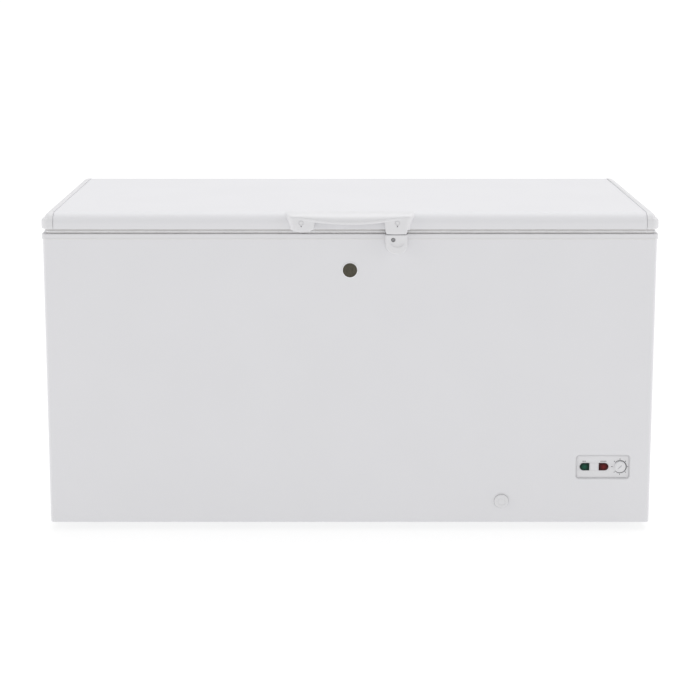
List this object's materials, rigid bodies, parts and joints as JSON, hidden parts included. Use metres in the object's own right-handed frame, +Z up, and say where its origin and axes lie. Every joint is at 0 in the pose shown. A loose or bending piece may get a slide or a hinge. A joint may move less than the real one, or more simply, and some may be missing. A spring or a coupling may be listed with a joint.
{
  "type": "chest freezer",
  "caption": "White chest freezer: long foamed cabinet, top-hinged lid with a central front handle and key lock, indicator and thermostat panel low on the right, front drain.",
  "frame": {"origin": "on the floor, under the middle of the freezer's overall length and depth", "axes": "+Z up; +X to the right of a person facing the front; the front faces -Y"},
  "size_m": [1.543, 0.742, 0.823],
  "materials": {
    "white_paint": "satin",
    "white_plastic": "satin",
    "liner_plastic": "satin",
    "coated_wire": "gloss",
    "liner_sheet": "satin",
    "zinc_steel": "satin",
    "hinge_steel": "satin",
    "bright_steel": "satin",
    "lock_metal": "polished",
    "foam": "matte",
    "gasket_rubber": "matte",
    "black_rubber": "matte",
    "black_plastic": "matte",
    "black_enamel": "satin",
    "foot_plastic": "matte",
    "bronze": "satin",
    "copper": "satin",
    "green_lens": "gloss",
    "red_lens": "gloss"
  },
  "bodies": {
    "cabinet": {"cabinet_wrap": "white_paint", "top_trim": "white_plastic", "lock_housing": "white_plastic", "control_bezel": "white_plastic", "blank_cover": "white_plastic", "drain_tube": "white_plastic", "inner_liner": "liner_sheet", "back_panel": "zinc_steel", "base_pan": "zinc_steel", "rear_grille": "zinc_steel", "compressor_plate": "zinc_steel", "hinge_base_left": "hinge_steel", "hinge_base_right": "hinge_steel", "hinge_pin_left": "bright_steel", "hinge_pin_right": "bright_steel", "hinge_spring_left": "bright_steel", "hinge_spring_right": "bright_steel", "thermostat_body": "zinc_steel", "cabinet_foam": "foam", "cord_gland": "black_rubber", "compressor_relay": "black_plastic", "compressor_shell": "black_enamel", "badge_disc": "bronze", "condenser_tube": "copper", "evaporator_tube": "copper", "discharge_pipe": "copper", "suction_pipe": "copper", "filter_drier": "copper", "green_lens": "green_lens", "red_lens": "red_lens", "foot_front_left": "foot_plastic", "foot_front_right": "foot_plastic", "foot_rear_left": "foot_plastic", "foot_rear_right": "foot_plastic", "compressor_mount_1": "black_rubber", "compressor_mount_2": "black_rubber", "compressor_mount_3": "black_rubber", "compressor_mount_4": "black_rubber"},
    "lid": {"lid_skin": "white_paint", "lid_end_cap_left": "white_plastic", "lid_end_cap_right": "white_plastic", "lid_foam": "foam", "lid_liner": "liner_plastic", "lid_gasket": "gasket_rubber", "handle": "white_plastic", "screw_cover_left": "white_plastic", "screw_cover_right": "white_plastic", "hinge_leaf_left": "hinge_steel", "hinge_leaf_right": "hinge_steel"},
    "thermostat_dial": {"thermostat_knob": "white_plastic", "thermostat_shaft": "bright_steel"},
    "lock_key": {"lock_cylinder": "lock_metal"},
    "lock_latch": {"lock_bolt": "bright_steel"},
    "drain_outlet_cap": {"drain_cap": "white_plastic"},
    "tub_stopper": {"drain_plug": "gasket_rubber"},
    "left_basket": {"basket_left": "coated_wire"},
    "right_basket": {"basket_right": "coated_wire"}
  },
  "joints": [
    {"name": "lid_hinge", "type": "hinge", "parent": "cabinet", "child": "lid", "pos_m": [0, 0.362, 0.776], "axis": [-1, 0, 0], "range_deg": [0, 85]},
    {"name": "thermostat_turn", "type": "hinge", "parent": "cabinet", "child": "thermostat_dial", "pos_m": [0.69, -0.345, 0.167], "axis": [0, 1, 0], "range_deg": [-135, 180]},
    {"name": "lock_turn", "type": "hinge", "parent": "cabinet", "child": "lock_key", "pos_m": [0.1075, -0.361, 0.757], "axis": [0, 1, 0], "range_deg": [0, 90]},
    {"name": "lock_bolt_lift", "type": "slide", "parent": "cabinet", "child": "lock_latch", "axis": [0, 0, 1], "range_m": [0, 0.01]},
    {"name": "drain_cap_pull", "type": "slide", "parent": "cabinet", "child": "drain_outlet_cap", "axis": [0, -1, 0], "range_m": [0, 0.03]},
    {"name": "drain_plug_lift", "type": "slide", "parent": "cabinet", "child": "tub_stopper", "axis": [0, 0, 1], "range_m": [0, 0.06]},
    {"name": "basket_left_slide", "type": "slide", "parent": "cabinet", "child": "left_basket", "axis": [1, 0, 0], "range_m": [0, 0.35]},
    {"name": "basket_right_slide", "type": "slide", "parent": "cabinet", "child": "right_basket", "axis": [1, 0, 0], "range_m": [-0.35, 0]}
  ],
  "couplings": [
    {"joint": "lock_turn", "follows": "lock_bolt_lift", "rad_per_m": 157}
  ]
}
